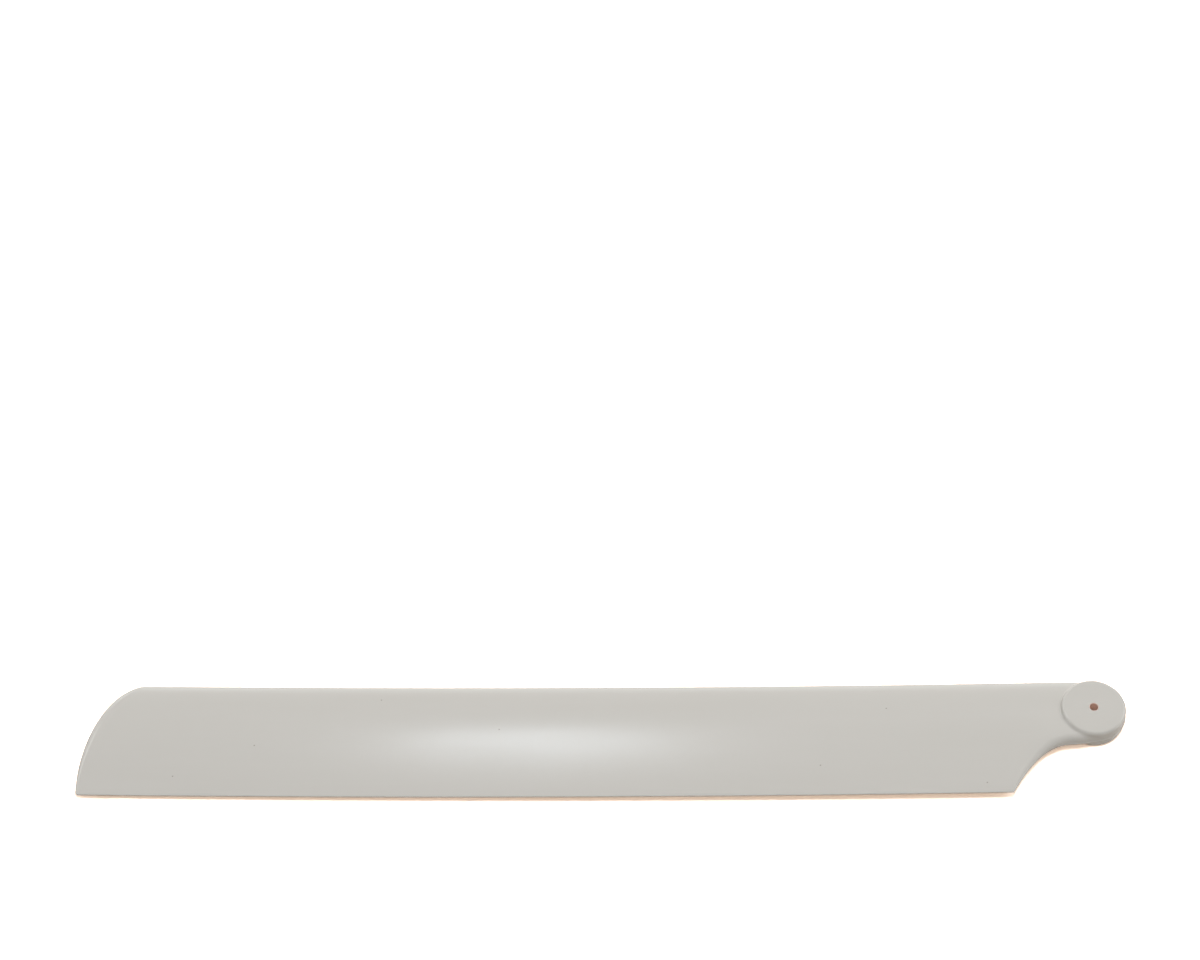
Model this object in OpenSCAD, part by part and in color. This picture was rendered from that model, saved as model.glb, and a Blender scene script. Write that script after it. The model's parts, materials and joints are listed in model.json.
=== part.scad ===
// Main rotor blade of a small model helicopter, moulded in one piece with its root boss.
// Origin: middle of the bolt bore, on the parting plane. +X runs out along the blade to the tip,
// +Y points to the trailing edge and +Z up along the bore. Sizes are millimetres.

/* [Blade plan] */
// Bore axis to the end of the tip
span = 155; // [120:1:200]
// Width of the blade, leading edge to trailing edge
chord = 19.5; // [18:0.1:24]
// Distance of the leading edge ahead of the bore axis
lead = 5.65; // [5.5:0.05:6.5]
// Bow of the moulding towards its trailing edge at mid-span
bow = 0.7; // [0:0.02:1.5]

/* [Section] */
// Greatest thickness of the blade
thickness = 2; // [1.6:0.05:2.6]
// Thickness at the trailing edge, before that edge is rounded
trailing_thickness = 0.3; // [0.2:0.05:0.8]
// Width of the rounded edge at the notch and the tip, as a multiple of its height
edge_round = 1.4; // [0.8:0.1:2]
// Width of the rounded trailing edge, as a multiple of its height
trailing_round = 0.6; // [0.4:0.1:1.4]

/* [Tip] */
// Length of blade that the rounded leading corner takes up
tip_length = 9.6; // [7:0.1:14]
// Straight end of the tip beside the trailing edge
tip_straight = 1.9; // [0.9:0.1:4]
// Fullness of the tip curve, where 2 is an ellipse
tip_fullness = 1.92; // [1.6:0.02:2.4]
// Radius of the small corner between the tip and the trailing edge
tip_corner = 0.5; // [0.2:0.05:0.8]
// Share of the tip's length over which its edge becomes fully rounded
tip_round_from = 0.35; // [0.2:0.05:0.6]

/* [Root] */
// Bore axis to the trailing corner at the root
root_corner = 13.2; // [11:0.1:16]
// Bore axis to the place where the neck's edge runs straight along the blade
neck_at = 3.5; // [3:0.1:4.5]
// Neck edge beyond the side of the boss
neck_margin = 0.45; // [0.2:0.05:0.8]
// Depth to which the neck's edge has run into the boss beside the bore axis
neck_sink = 0.1; // [0.05:0.05:0.4]
// Place where the leading edge starts to turn in to the boss
shoulder_at = 3.1; // [2.6:0.1:3.6]
// Radius of that turn
shoulder_radius = 5; // [4.5:0.1:5.5]

/* [Boss] */
// Diameter of the root boss at the parting plane
boss_diameter = 10; // [9:0.1:10.6]
// Thickness of the boss between its two clamped faces
boss_thickness = 3.6; // [3.3:0.1:5]
// Rounding of the boss's two rims
boss_round = 0.5; // [0.3:0.05:0.6]
// Mould draft of the boss wall, in degrees
boss_draft = 1.5; // [0.5:0.1:3]
// Reach of the blend at the foot of the boss wall
blend_reach = 1; // [0.6:0.05:1.4]
// Rise of that blend against the blade's own thickness
blend_rise = 0.3; // [0.1:0.05:0.4]

/* [Bore] */
// Diameter of the bolt bore through the boss
bore_diameter = 1.3; // [1:0.05:2]

/* [Hidden] */
boss_r = boss_diameter / 2;
boss_half = boss_thickness / 2;
trail = chord - lead;
neck_side = boss_r + neck_margin;
neck_dip = neck_margin + neck_sink;
tip_from = span - tip_length;
tip_side = trail - tip_straight;
body_thickness = thickness - trailing_thickness / 3;
section_peak = sqrt(27) / 4;
turn_share = 0.95;
skin_end = max(-boss_r / 3, shoulder_at - turn_share * shoulder_radius);
chord_steps = 26;
neck_steps = 10;
notch_steps = 20;
span_steps = 20;
tip_steps = 18;
rim_steps = 8;
boss_sides = 128;
bore_sides = 64;
plastic = [0.78, 0.77, 0.75];

function clamp(t) = min(1, max(0, t));
function smooth(t) = let (s = clamp(t)) s * s * (3 - 2 * s);

// Sideways bow, nothing at the bore and at the tip
function bow_y(x) = 4 * bow * max(0, x / span) * (1 - x / span);

// Trailing outline of the root: one parabola inside the neck, a steeper one out to the corner
function notch_y(x) =
    x < neck_at
    ? neck_side - neck_dip * pow((neck_at - x) / neck_at, 2)
    : neck_side + (trail - neck_side) * pow((x - neck_at) / (root_corner - neck_at), 2);
function notch_slope(x) =
    x < neck_at
    ? 2 * neck_dip * (neck_at - x) / pow(neck_at, 2)
    : 2 * (trail - neck_side) * (x - neck_at) / pow(root_corner - neck_at, 2);

// Straight trailing edge, with a small round corner at the end of the tip
function trail_line(x) =
    trail - tip_corner * (1 - sqrt(1 - pow(clamp((x - span) / tip_corner + 1), 2)));
function trail_y(x) = min(trail_line(x), notch_y(x));

// Leading outline: an arc off the boss, the straight edge, then a superellipse at the tip
function tip_u(x) = clamp((x - tip_from) / tip_length);
function lead_y(x) =
    x < shoulder_at
    ? shoulder_radius - lead - sqrt(pow(shoulder_radius, 2) - pow(x - shoulder_at, 2))
    : tip_side - (tip_side + lead) * pow(1 - pow(tip_u(x), tip_fullness), 1 / tip_fullness);

// Half thickness of the section, a round nose falling to the trailing thickness
function section(y) =
    let (c = clamp((y + lead) / chord))
    section_peak * body_thickness * sqrt(c) * (1 - c) + c * trailing_thickness / 2;

// Blend that lifts the blade's surface towards the foot of the boss wall
function blend(x, y) = 1 + blend_rise * pow(clamp(1 - (norm([x, y]) - boss_r) / blend_reach), 2);

// Rounded edge: a quarter ellipse over its width
function rounded(d, width) =
    let (s = width > 0 ? clamp(d / width) : 1)
    sqrt(s * (2 - s));

// Distances to the notch and to the tip curve
function notch_gap(x, y) = (notch_y(x) - y) / sqrt(1 + pow(notch_slope(x), 2));
function tip_gap(x, y) =
    let (
        n = tip_fullness,
        a = tip_u(x),
        b = max(0, (tip_side - y) / (tip_side + lead)),
        f = pow(pow(a, n) + pow(b, n), 1 / n),
        gx = pow(a / f, n - 1) / tip_length,
        gy = pow(b / f, n - 1) / (tip_side + lead)
    )
    max(0, 1 - f) / norm([gx, gy]);

// Half thickness of the moulding at a point of the plan
function skin_z(x, y) =
    let (h = section(y), width = edge_round * h)
    h * blend(x, y)
    * rounded(notch_gap(x, y), width)
    * rounded(trail_line(x) - y, trailing_round * h)
    * (tip_u(x) > 0 ? rounded(tip_gap(x, y), width * smooth(tip_u(x) / tip_round_from)) : 1);

// Stations along the blade, close together where the outline turns
stations = concat(
    [for (i = [0:neck_steps - 1]) skin_end + (neck_at - skin_end) * i / neck_steps],
    [for (i = [0:notch_steps - 1]) neck_at + (root_corner - neck_at) * i / notch_steps],
    [for (i = [0:span_steps - 1]) root_corner + (tip_from - root_corner) * pow(i / span_steps, 2)],
    [for (i = [0:tip_steps]) tip_from + tip_length * sin(90 * i / tip_steps)]
);
last = len(stations) - 1;

// One point of the skin: station i, chord step j, upper or lower side
function skin_point(i, j, side) =
    let (
        x = stations[i],
        t = (1 - cos(180 * j / chord_steps)) / 2,
        y = lead_y(x) + (trail_y(x) - lead_y(x)) * t,
        edge = j == 0 || j == chord_steps || i == last
    )
    [x, y + bow_y(x), edge ? 0 : side * skin_z(x, y)];

// Upper points first, then lower ones; the two skins share the points of the outline
function skin_index(i, j, side) =
    let (row = chord_steps + 1, edge = j == 0 || j == chord_steps || i == last)
    i * row + j + (side > 0 || edge ? 0 : (last + 1) * row);

module blade_skin() {
    points = [
        for (side = [1, -1], i = [0:last], j = [0:chord_steps]) skin_point(i, j, side)
    ];
    upper = [
        for (i = [0:last - 1], j = [0:chord_steps - 1])
        let (
            a = skin_index(i, j, 1),
            b = skin_index(i + 1, j, 1),
            c = skin_index(i + 1, j + 1, 1),
            d = skin_index(i, j + 1, 1)
        )
        each j < chord_steps / 2 ? [[a, d, b], [d, c, b]] : [[a, c, b], [a, d, c]]
    ];
    lower = [
        for (i = [0:last - 1], j = [0:chord_steps - 1])
        let (
            a = skin_index(i, j, -1),
            b = skin_index(i + 1, j, -1),
            c = skin_index(i + 1, j + 1, -1),
            d = skin_index(i, j + 1, -1)
        )
        each j < chord_steps / 2 ? [[a, b, d], [d, b, c]] : [[a, b, c], [a, c, d]]
    ];
    closed_end = [
        for (j = [0:chord_steps - 1])
        let (
            a = skin_index(0, j, 1),
            b = skin_index(0, j + 1, 1),
            c = skin_index(0, j + 1, -1),
            d = skin_index(0, j, -1)
        )
        each [[a, d, c], [a, c, b]]
    ];
    real_faces = [
        for (f = concat(upper, lower, closed_end))
        if (f[0] != f[1] && f[1] != f[2] && f[0] != f[2]) f
    ];
    polyhedron(points, real_faces, convexity = 6);
}

// Half profile of the boss: drafted wall from the parting plane, rounded rims, flat clamped faces
module boss() {
    rim_z = boss_half - boss_round;
    rim_x = boss_r - tan(boss_draft) * rim_z - boss_round / cos(boss_draft);
    rim = [
        for (i = [0:rim_steps])
        let (a = boss_draft + (90 - boss_draft) * i / rim_steps)
        [rim_x + boss_round * cos(a), rim_z + boss_round * sin(a)]
    ];
    rotate_extrude($fn = boss_sides)
        polygon(concat(
            [[0, -boss_half]],
            [for (i = [rim_steps:-1:0]) [rim[i][0], -rim[i][1]]],
            [[boss_r, 0]],
            rim,
            [[0, boss_half]]
        ));
}

module rotor_blade() {
    color(plastic)
        difference() {
            union() {
                boss();
                blade_skin();
            }
            translate([0, 0, -boss_thickness])
                cylinder(d = bore_diameter, h = 2 * boss_thickness, $fn = bore_sides);
        }
}

rotor_blade();
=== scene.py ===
# %% [markdown]
# This is a main rotor blade of a small model helicopter: a thin, slightly bowed wing with a round boss
# and a bolt bore at its root, moulded in plastic as one piece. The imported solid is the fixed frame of
# the scene. It is loaded first, and the sizes that it holds are read from it, so that everything made
# below sits where the solid is.

import json
import math

import bmesh
import bpy
import numpy as np
from mathutils import Matrix, Vector


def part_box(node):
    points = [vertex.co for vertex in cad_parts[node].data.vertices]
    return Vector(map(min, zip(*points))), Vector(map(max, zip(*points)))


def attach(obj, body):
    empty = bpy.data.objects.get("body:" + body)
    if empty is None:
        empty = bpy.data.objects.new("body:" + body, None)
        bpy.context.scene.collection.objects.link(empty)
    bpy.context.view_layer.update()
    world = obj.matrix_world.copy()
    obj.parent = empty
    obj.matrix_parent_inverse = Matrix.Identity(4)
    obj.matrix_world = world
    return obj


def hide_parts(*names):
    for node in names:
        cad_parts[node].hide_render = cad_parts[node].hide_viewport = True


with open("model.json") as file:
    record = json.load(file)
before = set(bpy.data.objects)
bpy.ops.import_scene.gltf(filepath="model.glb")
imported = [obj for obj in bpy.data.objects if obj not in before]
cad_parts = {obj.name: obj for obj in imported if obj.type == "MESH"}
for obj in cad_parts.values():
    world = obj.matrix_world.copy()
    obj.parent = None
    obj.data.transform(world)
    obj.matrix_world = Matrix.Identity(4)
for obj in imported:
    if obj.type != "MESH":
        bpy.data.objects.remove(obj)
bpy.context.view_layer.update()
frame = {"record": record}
MM = 0.001
low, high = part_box("rotor_blade")
mounts = {mount["name"]: mount for mount in frame["record"]["mounts"]}
span = high.x / MM
boss_r = -low.x / MM
boss_half = high.z / MM
bore_r = mounts["bolt_bore"]["dims"]["r_mm"]
print("frame: span", round(span, 2), "boss radius", round(boss_r, 2), "bore radius", bore_r, "mm")

# %% [markdown]
# The blade's plan is drawn by a few curves. The leading edge is a straight line that starts in an arc
# beside the boss and ends in a superellipse at the tip. The trailing edge is a straight line that a
# parabola cuts back to the neck. The whole plan bows a little towards its trailing edge, as a long
# thin moulding does when it cools. Each curve is a plain function of the place along the span, in
# millimetres, and it takes whole arrays, so a thousand stations cost one call.

# %% Plan of the blade
chord = 19.5
lead = 5.65  # leading edge ahead of the bore axis
trail = chord - lead
bow = 0.7  # at mid-span
tip_length = 9.6  # along the blade
tip_straight = 1.9  # straight end beside the trailing edge
tip_fullness = 1.92  # 2 would be an ellipse
tip_corner = 0.5
root_corner = 13.2  # place where the trailing edge ends at the root
neck_at = 3.5  # place where the neck's edge runs straight along the blade
neck_margin = 0.45  # neck's edge beyond the side of the boss
neck_sink = 0.1  # depth to which that edge runs into the boss
neck_side = boss_r + neck_margin
neck_dip = neck_margin + neck_sink
shoulder_at = 3.1  # place where the leading edge turns in to the boss
shoulder_radius = 5.0
tip_from = span - tip_length
tip_side = trail - tip_straight


def bow_y(x):
    """Sideways bow: a parabola over the span, nothing at the bore and at the tip."""
    return 4 * bow * np.maximum(0, x / span) * (1 - x / span)


def notch_y(x):
    """Trailing outline of the root: one parabola inside the neck, a steeper one out to the corner."""
    inner = neck_side - neck_dip * ((neck_at - x) / neck_at) ** 2
    outer = neck_side + (trail - neck_side) * ((x - neck_at) / (root_corner - neck_at)) ** 2
    return np.where(x < neck_at, inner, outer)


def notch_slope(x):
    """Slope of the trailing outline of the root, the derivative of its two parabolas."""
    inner = 2 * neck_dip * (neck_at - x) / neck_at**2
    outer = 2 * (trail - neck_side) * (x - neck_at) / (root_corner - neck_at) ** 2
    return np.where(x < neck_at, inner, outer)


def trail_line(x):
    """Straight trailing edge, with a small quarter circle at the end of the tip."""
    over = np.clip(x - (span - tip_corner), 0, tip_corner)
    return trail - tip_corner + np.sqrt(tip_corner**2 - over**2)


def tip_u(x):
    """How far a place lies into the tip curve, from 0 to 1."""
    return np.clip((x - tip_from) / tip_length, 0, 1)


def lead_y(x):
    """Leading outline: straight, then a superellipse that runs out at the end of the tip."""
    fall = (1 - tip_u(x) ** tip_fullness) ** (1 / tip_fullness)
    return tip_side - (tip_side + lead) * fall


print("plan: tip curve from", round(tip_from, 1), "mm,",
      "neck edge", round(neck_side, 2), "mm from the bore axis")

# %% [markdown]
# The section is a symmetric wing: a round nose, the thickest place at a third of the chord, and a thin
# trailing edge. On the moulding every cut edge is rounded over, with a width that follows the local
# thickness, and beside the boss the neck is thicker and its edge steeper, because the boss flows out
# into it. The rounding is a quarter ellipse on the distance to the outline, so it needs that distance:
# a first-order one, the value of the outline's own formula over the length of its gradient.

# %% Section and rounded edges
thickness = 2.0
trailing_thickness = 0.3
edge_round = 1.4  # width of a rounded edge over its half thickness
neck_round = 0.9  # the same at the neck
trailing_round = 0.6  # the same at the trailing edge
neck_rise = 0.36  # extra half thickness of the neck at the boss
neck_reach = 9.0  # distance from the boss at which it has died away
neck_from = -1.0  # chordwise place from which it grows to the neck's edge
tip_round_from = 0.35  # share of the tip's length over which its edge becomes fully rounded
body_thickness = thickness - trailing_thickness / 3
tiny = 1e-9  # keeps a divisor off nought


def section(nose):
    """Half thickness at a distance behind the nose: a root-shaped front that falls to the thin edge."""
    c = np.clip(nose / chord, 0, 1)
    peak = math.sqrt(27) / 4
    return peak * body_thickness * np.sqrt(c) * (1 - c) + c * trailing_thickness / 2


def rounded(gap, width):
    """Quarter ellipse: 0 on the outline, 1 from a width inside it."""
    s = np.clip(gap / np.maximum(width, tiny), 0, 1)
    return np.sqrt(s * (2 - s))


def smooth(share):
    """Smooth step from 0 to 1: three times the square less twice the cube."""
    s = np.clip(share, 0, 1)
    return s * s * (3 - 2 * s)


def neck_lift(x, y):
    """Extra half thickness with which the boss flows out along the neck; it dies away with distance."""
    away = (np.hypot(x, y) - boss_r) / neck_reach
    return neck_rise * smooth(1 - away) * smooth((y - neck_from) / (neck_side - neck_from))


def edge_width(x, half):
    """Width of a rounded edge: a multiple of the half thickness, narrower at the neck than farther out."""
    near_neck = np.clip((root_corner - x) / (root_corner - neck_at), 0, 1)
    return half * (edge_round + (neck_round - edge_round) * near_neck)


def notch_gap(x, y):
    """Distance to the trailing outline of the root, positive inside."""
    return (notch_y(x) - y) / np.sqrt(1 + notch_slope(x) ** 2)


def tip_gap(x, y):
    """Distance to the tip's superellipse, positive inside."""
    n = tip_fullness
    a = tip_u(x)
    b = np.maximum(0, (tip_side - y) / (tip_side + lead))
    f = np.maximum(tiny, (a**n + b**n) ** (1 / n))
    slope = np.hypot((a / f) ** (n - 1) / tip_length, (b / f) ** (n - 1) / (tip_side + lead))
    return np.maximum(0, 1 - f) / np.maximum(slope, tiny)


def skin_z(x, y):
    """Half thickness of the blade: its section, rounded over at the notch, trailing edge and tip."""
    half = section(y + lead) + neck_lift(x, y)
    width = edge_width(x, half)
    round_notch = rounded(notch_gap(x, y), width)
    round_trail = rounded(trail_line(x) - y, trailing_round * half)
    round_tip = rounded(tip_gap(x, y), width * smooth(tip_u(x) / tip_round_from))
    return half * round_notch * round_trail * np.where(tip_u(x) > 0, round_tip, 1)


print("section: thickest", round(2 * float(section(np.array(chord / 3))), 2), "mm")

# %% [markdown]
# Outboard of the boss the upper skin is one grid: stations along the span, points along the chord. The
# chord's spacing is a cosine and the tip's a sine, which crowd the points towards the outline, where a
# rounded edge turns fast. The outline itself lies on the parting plane, where the two halves of the
# mould met, and the lower skin is the same grid with its height turned over.

# %% Upper skin of the blade
seam_at = 6.6  # place along the blade where the root's skin takes over
chord_steps = 80
notch_stations = 36
straight_stations = 70
tip_stations = 44
chord_place = (1 - np.cos(np.linspace(0, np.pi, chord_steps + 1))) / 2
stations = np.concatenate([
    np.linspace(seam_at, root_corner, notch_stations)[:-1],
    np.linspace(root_corner, tip_from, straight_stations)[:-1],
    tip_from + tip_length * np.sin(np.linspace(0, np.pi / 2, tip_stations)),
])


def blade_grid():
    """Upper skin: y runs from the leading to the trailing outline, z is the half thickness."""
    x, place = np.meshgrid(stations, chord_place, indexing="ij")
    trailing = np.minimum(trail_line(x), notch_y(x))
    y = lead_y(x) + (trailing - lead_y(x)) * place
    z = skin_z(x, y)
    z[:, 0] = z[:, -1] = z[-1] = 0
    return np.stack([x, y + bow_y(x), z], axis=-1)


blade_top = blade_grid()
print("blade skin:", blade_top.shape[:2], "points, highest", round(float(blade_top[..., 2].max()), 3), "mm")

# %% [markdown]
# At the root a drafted boss stands on the blade, and a moulding has no sharp inner corner there: the
# wall flows into the blade through a small fillet, and into the neck's edge beside it. A boolean of two
# meshes would leave a hard, ragged seam. Here the two shapes are fields instead, negative inside, and a
# smooth minimum melts them together. The fine raised line round the middle is the flash that a mould
# leaves where its halves meet.

# %% Field of the root
boss_round = 0.5
boss_draft = math.radians(1.5)
foot_fillet = 0.4
thin_limit = 0.02  # least half thickness, at the nose
witness_height = 0.1
witness_width = 0.09


def boss_field(r, z):
    """Distance to a round block with a drafted wall and a rounded rim."""
    out = r - (boss_r - math.tan(boss_draft) * z) + boss_round
    up = z - boss_half + boss_round
    outside = np.hypot(np.maximum(out, 0), np.maximum(up, 0))
    return outside + np.minimum(np.maximum(out, up), 0) - boss_round


def nose_gap(x, y):
    """Distance behind the leading outline, whose arc turns in to the boss and is lost inside it."""
    a = shoulder_radius - (y + lead)
    b = shoulder_at - x
    arc = shoulder_radius - np.hypot(np.maximum(a, 0), np.maximum(b, 0))
    return arc - np.minimum(a, 0) * smooth(1 - b / shoulder_radius)


def plate_field(x, y, z):
    """Height over the blade's skin with its rounded trailing edge; off the nose, the distance to it."""
    nose = nose_gap(x, y)
    half = np.maximum(section(nose) + neck_lift(x, y), thin_limit)
    gap = notch_gap(x, y)
    over = half * (np.hypot(np.maximum(0, 1 - gap / edge_width(x, half)), z / half) - 1)
    off = np.sqrt(nose**2 + np.maximum(0, -gap) ** 2 + z**2)
    return np.where(nose > 0, over, off)


def root_field(r, angle, z):
    """Smooth minimum of boss and blade, less a bell curve of the height for the raised parting line."""
    x = r * np.cos(angle)
    y = r * np.sin(angle) - bow_y(x)
    plate = plate_field(x, y, z)
    boss = boss_field(r, z)
    share = np.clip(0.5 + 0.5 * (boss - plate) / foot_fillet, 0, 1)
    melted = boss + (plate - boss) * share - foot_fillet * share * (1 - share)
    fade_end = neck_at + (seam_at - neck_at) * smooth(y / boss_r)
    fade = np.clip((fade_end - x) / (seam_at - neck_at), 0, 1)
    return melted - witness_height * fade * np.exp(-((z / witness_width) ** 2))


print("root: foot fillet", foot_fillet, "mm, parting line", witness_height, "mm high")

# %% [markdown]
# A field has no points of its own, so the skin of the root is found on it. Rays leave a ring inside the
# boss, one fan for each direction round the bore, and bisection halves the stretch in which each ray
# comes out until it is far finer than the eye. The result is a grid in two angles. Its first directions
# are those of the blade's last station, so that the two skins share their points there.

# %% Upper skin of the root
ring_r = 4.0
bore_edge = 0.12  # radius of the bore's broken edge
free_steps = 160  # directions where no blade is met
tilt_steps = 110
search_reach = 11.0
bisections = 44
least_lean = 1e-3  # keeps a level or upright ray's reach finite


def root_grid(seam):
    """Rays in the half plane at each angle, tilted from the seam or the parting plane up to the bore."""
    seam_angle = np.arctan2(seam[:, 1], seam[:, 0])
    sweep = (1 - np.cos(np.linspace(0, np.pi, free_steps + 1)[1:-1])) / 2
    free_angle = seam_angle[-1] + (2 * np.pi + seam_angle[0] - seam_angle[-1]) * sweep
    angle = np.concatenate([seam_angle, free_angle])
    seam_r = np.hypot(seam[:, 0], seam[:, 1])
    limit = np.concatenate([seam_r, np.full(free_angle.size, search_reach)])
    first = np.concatenate([np.arctan2(seam[:, 2], seam_r - ring_r), np.zeros(free_angle.size)])
    last = math.atan2(boss_half, bore_r + bore_edge - ring_r)
    share = np.linspace(0, 1, tilt_steps + 1)[:, None]
    tilt = first + (last - first) * share
    near = np.zeros_like(tilt)
    far = np.minimum(
        (limit - ring_r) / np.maximum(np.cos(tilt), least_lean),
        2 * boss_half / np.maximum(np.sin(tilt), least_lean),
    )
    for _ in range(bisections):
        middle = (near + far) / 2
        inside = root_field(ring_r + middle * np.cos(tilt), angle, middle * np.sin(tilt)) < 0
        near = np.where(inside, middle, near)
        far = np.where(inside, far, middle)
    r = ring_r + near * np.cos(tilt)
    points = np.stack([r * np.cos(angle), r * np.sin(angle), near * np.sin(tilt)], axis=-1)
    points[0, : len(seam)] = seam
    return points, angle


root_top, root_angle = root_grid(blade_top[0])
print("root skin:", root_top.shape[:2], "points, highest", round(float(root_top[..., 2].max()), 3), "mm")

# %% [markdown]
# The bore is a plain round hole with its edge just broken, as a core pin leaves it. A boolean could cut
# it, but a profile carried round the axis keeps its points in step with the root's skin: a quarter round
# from the clamped face into the hole, then the wall down to the parting plane.

# %% Bore
bore_steps = 6
bore_turn = np.linspace(0, np.pi / 2, bore_steps + 1)
bore_profile = np.concatenate([
    np.stack([
        bore_r + bore_edge * (1 - np.sin(bore_turn)),
        boss_half - bore_edge * (1 - np.cos(bore_turn)),
    ], axis=-1),
    np.stack([
        np.full(bore_steps, bore_r),
        np.linspace(boss_half - bore_edge, 0, bore_steps + 1)[1:],
    ], axis=-1),
])


def bore_grid(angle):
    """Profile carried round the bore's axis, one column for each angle of the root's skin."""
    r = bore_profile[:, :1]
    z = np.broadcast_to(bore_profile[:, 1:], (len(bore_profile), angle.size))
    return np.stack([r * np.cos(angle), r * np.sin(angle), z], axis=-1)


bore_top = bore_grid(root_angle)
bore_top[0] = root_top[-1]
print("bore:", bore_top.shape[:2], "points")

# %% [markdown]
# The real blade is one skin without a seam, so the three grids become one mesh. Each is put in twice, as
# it is and turned over in the parting plane, and every grid shares its border points with the next one.
# Merging the doubles then closes the whole blade. A Mirror modifier would do the same, but plain points
# let the count of open edges and the volume be printed here.

# %% One closed mesh
weld = 0.0002


def grid_quads(points, closed):
    """Index quads of a grid; a closed grid joins its last column to its first."""
    index = np.arange(points.shape[0] * points.shape[1]).reshape(points.shape[:2])
    here = index if closed else index[:, :-1]
    there = np.roll(index, -1, axis=1) if closed else index[:, 1:]
    return np.stack([here[:-1], there[:-1], there[1:], here[1:]], axis=-1).reshape(-1, 4)


def closed_skin(name, grids):
    """One mesh of the grids and their mirror images in the parting plane, with its doubles merged."""
    points = []
    quads = []
    count = 0
    for grid, closed in grids:
        for side in (1, -1):
            points.append(grid.reshape(-1, 3) * (1, 1, side))
            quads.append(grid_quads(grid, closed) + count)
            count += len(points[-1])
    mesh = bpy.data.meshes.new(name)
    mesh.from_pydata((np.concatenate(points) * MM).tolist(), [], np.concatenate(quads).tolist())
    work = bmesh.new()
    work.from_mesh(mesh)
    bmesh.ops.remove_doubles(work, verts=work.verts, dist=weld * MM)
    bmesh.ops.recalc_face_normals(work, faces=work.faces)
    open_edges = sum(not edge.is_manifold for edge in work.edges)
    print(name, len(work.faces), "faces,", open_edges, "open edges, volume",
          round(work.calc_volume() / MM**3, 1), "mm3")
    work.to_mesh(mesh)
    work.free()
    mesh.polygons.foreach_set("use_smooth", np.ones(len(mesh.polygons), dtype=bool))
    piece = bpy.data.objects.new(name, mesh)
    bpy.context.scene.collection.objects.link(piece)
    return piece


blade = closed_skin("moulded_blade", [(blade_top, False), (root_top, True), (bore_top, True)])

# %% [markdown]
# Materials are trees of nodes, and setting each node up by hand takes many lines. One small function adds
# a node with its settings, its socket values and its links. Colours are written as they look on a screen,
# in sRGB hex, and another function turns them into the linear light that Blender reckons with.

# %% Nodes and colours
middle_grey = "#808080"


def linear(hex_code):
    """Linear RGBA of an sRGB hex colour: a straight toe, then a power of 2.4."""
    value = np.array([int(hex_code[i:i + 2], 16) for i in (1, 3, 5)]) / 255
    value = np.where(value <= 0.04045, value / 12.92, ((value + 0.055) / 1.055) ** 2.4)
    return (*value.tolist(), 1.0)


def add_node(tree, kind, settings=None, inputs=None, links=None):
    """Adds a node, sets its properties and sockets, and links its sockets to outputs of other nodes."""
    node = tree.nodes.new(kind)
    for key, value in (settings or {}).items():
        setattr(node, key, value)
    for key, value in (inputs or {}).items():
        node.inputs[key].default_value = value
    for key, output in (links or {}).items():
        tree.links.new(output, node.inputs[key])
    return node


def new_tree(owner):
    """Empty node tree of a new material or world."""
    owner.use_nodes = True
    owner.node_tree.nodes.clear()
    return owner.node_tree


print("middle grey in linear light:", round(linear(middle_grey)[0], 3))

# %% [markdown]
# The plastic is ABS, injection moulded in a polished and lightly worn mould. That gives the eye a pale
# warm grey with faint flow marks along the span, where the melt ran, and a few specks of dust. The wall
# of the bore is given a paler, warmer tint. This is a painted glow that stands in for light coming through
# the boss there, and in its own shade it then shows brown. An image could hold all this, but noise and
# cells sized in millimetres stay sharp at any distance and have no seams.

# %% Colour of the ABS
abs_grey = "#C8C5BF"
abs_grey_flow = "#C3C0B9"
abs_dust = "#8E877C"
abs_bore_painted_glow = "#F3D7C9"
flow_length = 40.0
flow_width = 5.0
flow_noise = {"Scale": 1.0, "Detail": 3.0, "Roughness": 0.55}
speck_spacing = 20.0
speck_radius = 0.17


def flow_marks(tree, place):
    """Noise stretched along the span, from 0 to 1."""
    flow_scale = (1 / (flow_length * MM), 1 / (flow_width * MM), 1 / (flow_width * MM))
    flow_place = add_node(tree, "ShaderNodeMapping", inputs={"Scale": flow_scale}, links={"Vector": place})
    flow = add_node(
        tree, "ShaderNodeTexNoise", inputs=flow_noise, links={"Vector": flow_place.outputs["Vector"]},
    )
    return flow.outputs["Fac"]


def dust_specks(tree, place):
    """1 in the middle of each Voronoi cell, 0 from a speck's radius outwards."""
    cells = add_node(
        tree, "ShaderNodeTexVoronoi", {"voronoi_dimensions": "2D"}, {"Scale": 1 / (speck_spacing * MM)},
        {"Vector": place},
    )
    near = add_node(
        tree, "ShaderNodeMapRange", {"interpolation_type": "SMOOTHSTEP"},
        {"From Min": speck_radius / speck_spacing, "From Max": 0.0},
        {"Value": cells.outputs["Distance"]},
    )
    return near.outputs["Result"]


def bore_glow_wall(tree, place):
    """1 on the wall of the bore, where the glow is painted, 0 outside its broken edge, by the distance from
    the bore's axis.
    """
    flat_place = add_node(
        tree, "ShaderNodeVectorMath", {"operation": "MULTIPLY"}, {1: (1, 1, 0)}, {0: place},
    )
    from_axis = add_node(
        tree, "ShaderNodeVectorMath", {"operation": "LENGTH"}, links={0: flat_place.outputs["Vector"]},
    )
    inside = add_node(
        tree, "ShaderNodeMapRange", {"interpolation_type": "SMOOTHSTEP"},
        {"From Min": (bore_r + bore_edge) * MM, "From Max": bore_r * MM},
        {"Value": from_axis.outputs["Value"]},
    )
    return inside.outputs["Result"]


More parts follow.
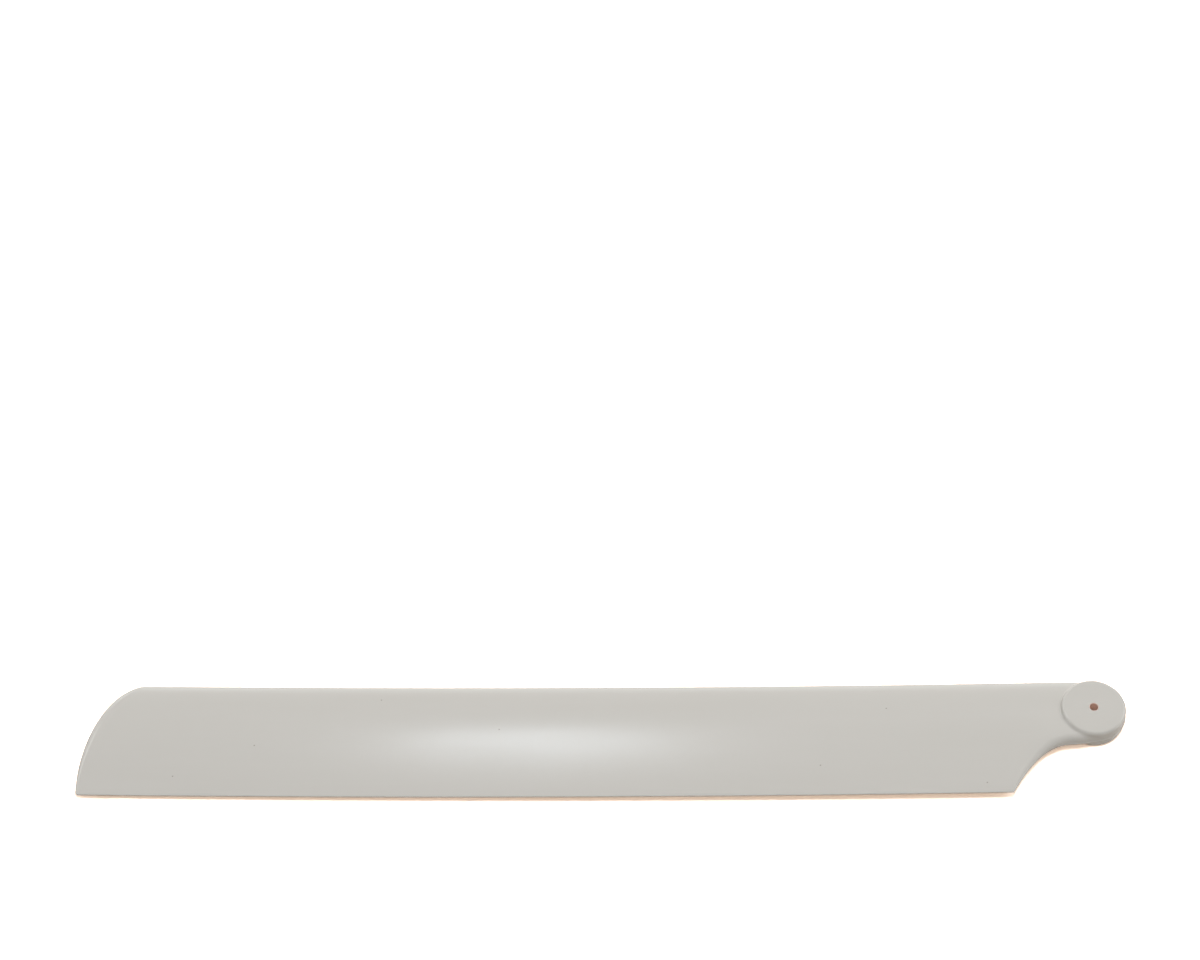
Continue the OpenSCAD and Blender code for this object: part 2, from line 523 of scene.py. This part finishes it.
def abs_colour(tree, place, flow):
    """Grey mixed by the flow marks, then with the dust, then with the bore's tint, a painted glow of light
    through the boss.
    """
    grey = add_node(
        tree, "ShaderNodeMix", {"data_type": "RGBA"},
        {"A": linear(abs_grey), "B": linear(abs_grey_flow)}, {"Factor": flow},
    )
    dusty = add_node(
        tree, "ShaderNodeMix", {"data_type": "RGBA"}, {"B": linear(abs_dust)},
        {"Factor": dust_specks(tree, place), "A": grey.outputs["Result"]},
    )
    # Painted glow: the bore's wall is tinted paler and warmer to stand in for light coming through the
    # boss.
    colour = add_node(
        tree, "ShaderNodeMix", {"data_type": "RGBA"}, {"B": linear(abs_bore_painted_glow)},
        {"Factor": bore_glow_wall(tree, place), "A": dusty.outputs["Result"]},
    )
    return colour.outputs["Result"]


print("flow marks", flow_length, "by", flow_width, "mm, specks", 2 * speck_radius, "mm wide")

# %% [markdown]
# A moulded face has a satin gloss: soft reflections, a little duller where the melt flowed, and broken up
# by the fine grain of the mould. Real grain is finer than a tenth of a millimetre and would not show, so
# it is drawn coarser here, and its relief stays a hundredth of a millimetre deep.

# %% Moulded ABS
abs_ior = 1.54
gloss_range = {"From Min": 0.3, "From Max": 0.7, "To Min": 0.17, "To Max": 0.22}  # flow to roughness
grain_size = 0.35
grain_detail = 2.0
grain_depth = 0.01
grain_strength = 0.25


def moulded_abs():
    """Warm grey satin ABS, with every pattern on Object coordinates."""
    material = bpy.data.materials.new("moulded_abs")
    tree = new_tree(material)
    place = add_node(tree, "ShaderNodeTexCoord").outputs["Object"]
    flow = flow_marks(tree, place)
    rough = add_node(tree, "ShaderNodeMapRange", inputs=gloss_range, links={"Value": flow})
    grain = add_node(
        tree, "ShaderNodeTexNoise", inputs={"Scale": 1 / (grain_size * MM), "Detail": grain_detail},
        links={"Vector": place},
    )
    bump = add_node(
        tree, "ShaderNodeBump", inputs={"Strength": grain_strength, "Distance": grain_depth * MM},
        links={"Height": grain.outputs["Fac"]},
    )
    shader = add_node(
        tree, "ShaderNodeBsdfPrincipled", inputs={"IOR": abs_ior},
        links={
            "Base Color": abs_colour(tree, place, flow),
            "Roughness": rough.outputs["Result"],
            "Normal": bump.outputs["Normal"],
        },
    )
    add_node(tree, "ShaderNodeOutputMaterial", links={"Surface": shader.outputs["BSDF"]})
    return material


blade.data.materials.append(moulded_abs())
print("material:", blade.data.materials[0].name)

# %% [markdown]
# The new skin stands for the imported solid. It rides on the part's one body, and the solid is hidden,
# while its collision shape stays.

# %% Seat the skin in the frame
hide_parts("rotor_blade")
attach(blade, "root")
print("the skin replaces rotor_blade")

# %% [markdown]
# The blade lies on a pale table. It touches in two places, at the outer rim of the boss and under the
# tip, so against the blade's own frame the table leans by a fraction of a degree. A white product table
# is mostly a matter of light. More lamps would also bleach the blade, so the floor has three tones
# instead. The camera sees one that clips to white where it is lit, with a little warm light of its own
# that leaves the shadow tan. The blade's gloss mirrors a calmer one, and the light that bounces up from
# the floor takes the third.

# %% Table
tip_rest = 4.0  # distance of the resting place from the end of the tip
touch_root = (boss_r - boss_round, -boss_half)
touch_tip = (span - tip_rest, -thickness / 2)
table_reach = 2500.0
table_lift = (0.28, 0.18, 0.115, 1.0)
table_shade = (2.20, 1.97, 1.80, 1.0)
table_mirrored = (0.85, 0.85, 0.85, 1.0)
table_bounce = "#DDD7CF"


def table_z(x):
    """Height of the table: the line through the two places where the blade touches it, just clear."""
    slope = (touch_tip[1] - touch_root[1]) / (touch_tip[0] - touch_root[0])
    return touch_root[1] + slope * (x - touch_root[0]) - weld


def seen_rays(tree, path):
    """1 for rays from the camera, off gloss and through glass: the greatest of the three."""
    seen = path.outputs["Is Camera Ray"]
    for ray in ("Is Glossy Ray", "Is Transmission Ray"):
        greater = add_node(
            tree, "ShaderNodeMath", {"operation": "MAXIMUM"}, links={0: seen, 1: path.outputs[ray]},
        )
        seen = greater.outputs["Value"]
    return seen


def white_table():
    """Pale floor that takes the shadow; what is seen of it has the lift and its own tone."""
    material = bpy.data.materials.new("white_table")
    tree = new_tree(material)
    path = add_node(tree, "ShaderNodeLightPath")
    tone = add_node(
        tree, "ShaderNodeMix", {"data_type": "RGBA"}, {"A": table_mirrored, "B": table_shade},
        {"Factor": path.outputs["Is Camera Ray"]},
    )
    shade = add_node(tree, "ShaderNodeBsdfDiffuse", links={"Color": tone.outputs["Result"]})
    lift = add_node(tree, "ShaderNodeEmission", inputs={"Color": table_lift})
    lifted = add_node(
        tree, "ShaderNodeAddShader", links={0: shade.outputs["BSDF"], 1: lift.outputs["Emission"]},
    )
    bounce = add_node(tree, "ShaderNodeBsdfDiffuse", inputs={"Color": linear(table_bounce)})
    mixed = add_node(
        tree, "ShaderNodeMixShader",
        links={0: seen_rays(tree, path), 1: bounce.outputs["BSDF"], 2: lifted.outputs["Shader"]},
    )
    add_node(tree, "ShaderNodeOutputMaterial", links={"Surface": mixed.outputs["Shader"]})
    return material


corner = np.array([(-1, -1), (1, -1), (1, 1), (-1, 1)]) * table_reach
corner_points = np.column_stack([corner, table_z(corner[:, 0])]) * MM
table_mesh = bpy.data.meshes.new("table")
table_mesh.from_pydata(corner_points.tolist(), [], [(0, 1, 2, 3)])
table = bpy.data.objects.new("table", table_mesh)
table.data.materials.append(white_table())
bpy.context.scene.collection.objects.link(table)
print("table: height under the bore", round(float(table_z(0)), 3), "mm, under the tip",
      round(float(table_z(span)), 3), "mm")

# %% [markdown]
# The sky over a product table is a dim studio, brightest overhead. A world that reads its direction gives
# that in a few nodes, where an image of a studio would have to be loaded. What is seen of it, straight or
# in a reflection, is plain white.

# %% Sky
sky_colour = "#FFFFFF"
sky_tilt = math.radians(10)
sky_floor = 0.10
sky_gain = 0.5
sky_power = 2.0


def studio_world():
    """Sky strength: a floor value plus a gain times a power of the cosine to a direction overhead."""
    world = bpy.data.worlds.new("studio")
    tree = new_tree(world)
    path = add_node(tree, "ShaderNodeLightPath")
    direction = add_node(tree, "ShaderNodeTexCoord").outputs["Generated"]
    toward = add_node(
        tree, "ShaderNodeVectorMath", {"operation": "DOT_PRODUCT"},
        {1: (0, -math.sin(sky_tilt), math.cos(sky_tilt))}, {0: direction},
    )
    above = add_node(
        tree, "ShaderNodeMath", {"operation": "MAXIMUM"}, {1: 0.0}, {0: toward.outputs["Value"]},
    )
    lobe = add_node(
        tree, "ShaderNodeMath", {"operation": "POWER"}, {1: sky_power}, {0: above.outputs["Value"]},
    )
    strength = add_node(
        tree, "ShaderNodeMath", {"operation": "MULTIPLY_ADD"}, {1: sky_gain, 2: sky_floor},
        {0: lobe.outputs["Value"]},
    )
    shown = add_node(
        tree, "ShaderNodeMix", {"data_type": "FLOAT"}, {"B": 1.0},
        {"Factor": seen_rays(tree, path), "A": strength.outputs["Value"]},
    )
    sky = add_node(
        tree, "ShaderNodeBackground", inputs={"Color": linear(sky_colour)},
        links={"Strength": shown.outputs["Result"]},
    )
    add_node(tree, "ShaderNodeOutputWorld", links={"Surface": sky.outputs["Background"]})
    return world


bpy.context.scene.world = studio_world()
print("sky strength from", sky_floor, "to", sky_floor + sky_gain)

# %% [markdown]
# Soft boxes do the rest, at a plain level: a flat grey lying on the table renders about as it is written.
# The key hangs nearly overhead. It gives most of the light and the crisp shadow under the trailing edge,
# and is kept out of reflections, where a small cool box draws the long highlight on the crown instead. A
# wide low box at the back makes the leading edge pale, two boxes behind the ends draw fine light lines on
# the rims of tip and boss, and a weak fill beyond each end lightens the walls of the boss. A box is set by
# its radiance, the brightness of its face, because that is what a reflection shows.

# %% Light


def soft_box(name, place, aim, size, radiance, colour="#FFFFFF"):
    """Rectangular area lamp; its power is pi times its area times its radiance."""
    lamp = bpy.data.lights.new(name, "AREA")
    lamp.shape = "RECTANGLE"
    lamp.color = linear(colour)[:3]
    lamp.size, lamp.size_y = size[0] * MM, size[1] * MM
    lamp.energy = math.pi * lamp.size * lamp.size_y * radiance
    item = bpy.data.objects.new(name, lamp)
    item.location = Vector(place) * MM
    item.rotation_euler = (Vector(aim) - Vector(place)).to_track_quat("-Z", "Y").to_euler()
    bpy.context.scene.collection.objects.link(item)
    return item


bore_axis = (0, 0, 0)
mid_blade = (78, 0, 0)
lamps = [
    soft_box("crown_soft_box", (94, -251, 521), aim=(86, 6, 1), size=(66, 70), radiance=9.8,
             colour="#EDF6FF"),
    soft_box("back_soft_box", (78, -900, 300), aim=mid_blade, size=(1300, 500), radiance=1.15),
    soft_box("root_soft_box", (-380, -200, 360), aim=bore_axis, size=(230, 230), radiance=3.6),
    soft_box("tip_soft_box", (560, -360, 450), aim=(100, 0, 0), size=(230, 230), radiance=2.8),
    soft_box("tip_fill_box", (1500, 60, 420), aim=bore_axis, size=(640, 540), radiance=2.0),
    soft_box("root_fill_box", (-1500, 300, 420), aim=bore_axis, size=(640, 540), radiance=1.3),
]
key = soft_box("key_soft_box", (40, 90, 820), aim=mid_blade, size=(172, 172), radiance=26.6)
key.visible_glossy = False
print("lamp power", [round(lamp.data.energy, 3) for lamp in [*lamps, key]], "W")

# %% [markdown]
# The camera looks down at about 54 degrees from the trailing edge's side, with a long lens, so the blade
# is nearly a drawing of itself. A Track To constraint could aim it, but its place was worked out from the
# outline's known lengths, with a small roll for the lean of the blade on the table, so its three axes are
# built here: forward to the target, and right and up square to that.

# %% Camera
eye = Vector((78.61, 262.03, 417.13))
target = Vector((75.40, -44.80, 0))
camera_right = Vector((-0.99997, 0.00662, 0.00284))
camera_data = bpy.data.cameras.new("camera")
camera_data.sensor_fit = "HORIZONTAL"
camera_data.sensor_width = 36.0
camera_data.lens = 96.0
camera_data.clip_end = 20.0
forward = (target - eye).normalized()
up = camera_right.cross(forward).normalized()
right = forward.cross(up)
camera = bpy.data.objects.new("camera", camera_data)
camera.matrix_world = Matrix.Translation(eye * MM) @ Matrix((right, up, -forward)).transposed().to_4x4()
bpy.context.scene.collection.objects.link(camera)
bpy.context.scene.camera = camera
bpy.context.scene.view_settings.view_transform = "Standard"
print("camera", round((target - eye).length), "mm from its target")
